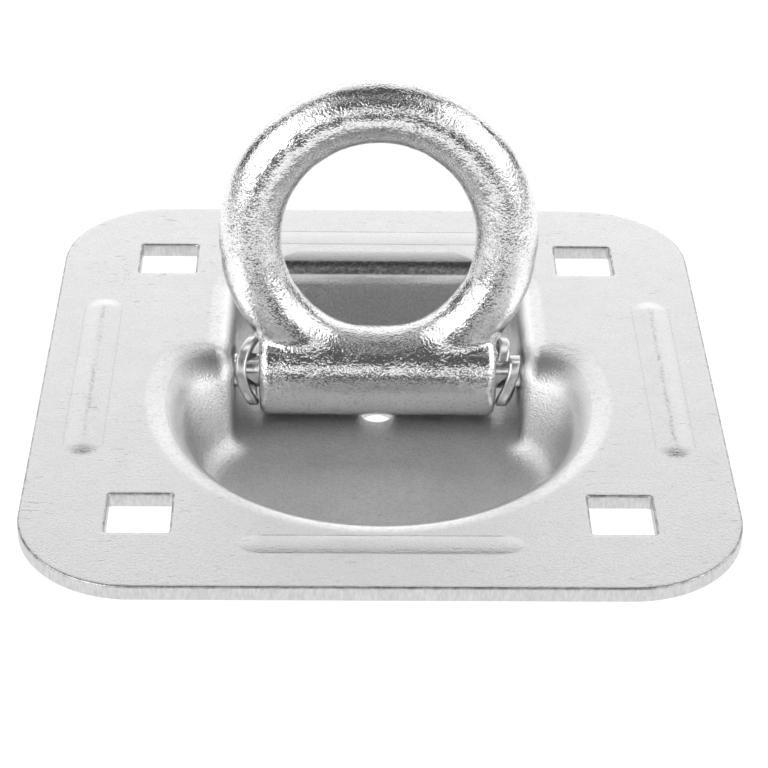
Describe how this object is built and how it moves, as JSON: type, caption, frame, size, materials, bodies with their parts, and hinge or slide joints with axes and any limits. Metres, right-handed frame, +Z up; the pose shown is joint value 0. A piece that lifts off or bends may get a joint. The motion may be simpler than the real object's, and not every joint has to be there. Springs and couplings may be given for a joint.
{
  "type": "recessed tie-down anchor",
  "caption": "Flush-mount tie-down anchor: a pressed steel pan with a round dish holds a forged swivel ring on a pin, which folds down below the deck surface.",
  "frame": {"origin": "centre of the flange's underside, the plane that lies on the deck, midway between the four square holes", "axes": "+X along the hinge pin, to the right; +Y towards the straight back edge of the dish, the way the ring leans; +Z up, out of the deck"},
  "size_m": [0.151, 0.155, 0.0821],
  "materials": {
    "pan_steel": "zinc plated pressed sheet, satin, with fine mottling and scratches",
    "forged_steel": "zinc plated over a rough forged skin",
    "pin_steel": "bright zinc on drawn bar",
    "spring_steel": "bright zinc on flat spring wire"
  },
  "bodies": {
    "pan": {"pan": "pan_steel", "pivot_pin": "pin_steel", "left_spring_washer": "spring_steel", "right_spring_washer": "spring_steel"},
    "ring": {"ring": "forged_steel"}
  },
  "joints": [
    {"name": "ring_hinge", "type": "hinge", "parent": "pan", "child": "ring", "pos_m": [0, 0.0175, -0.0062], "axis": [-1, 0, 0], "range_deg": [-104, 44]}
  ]
}
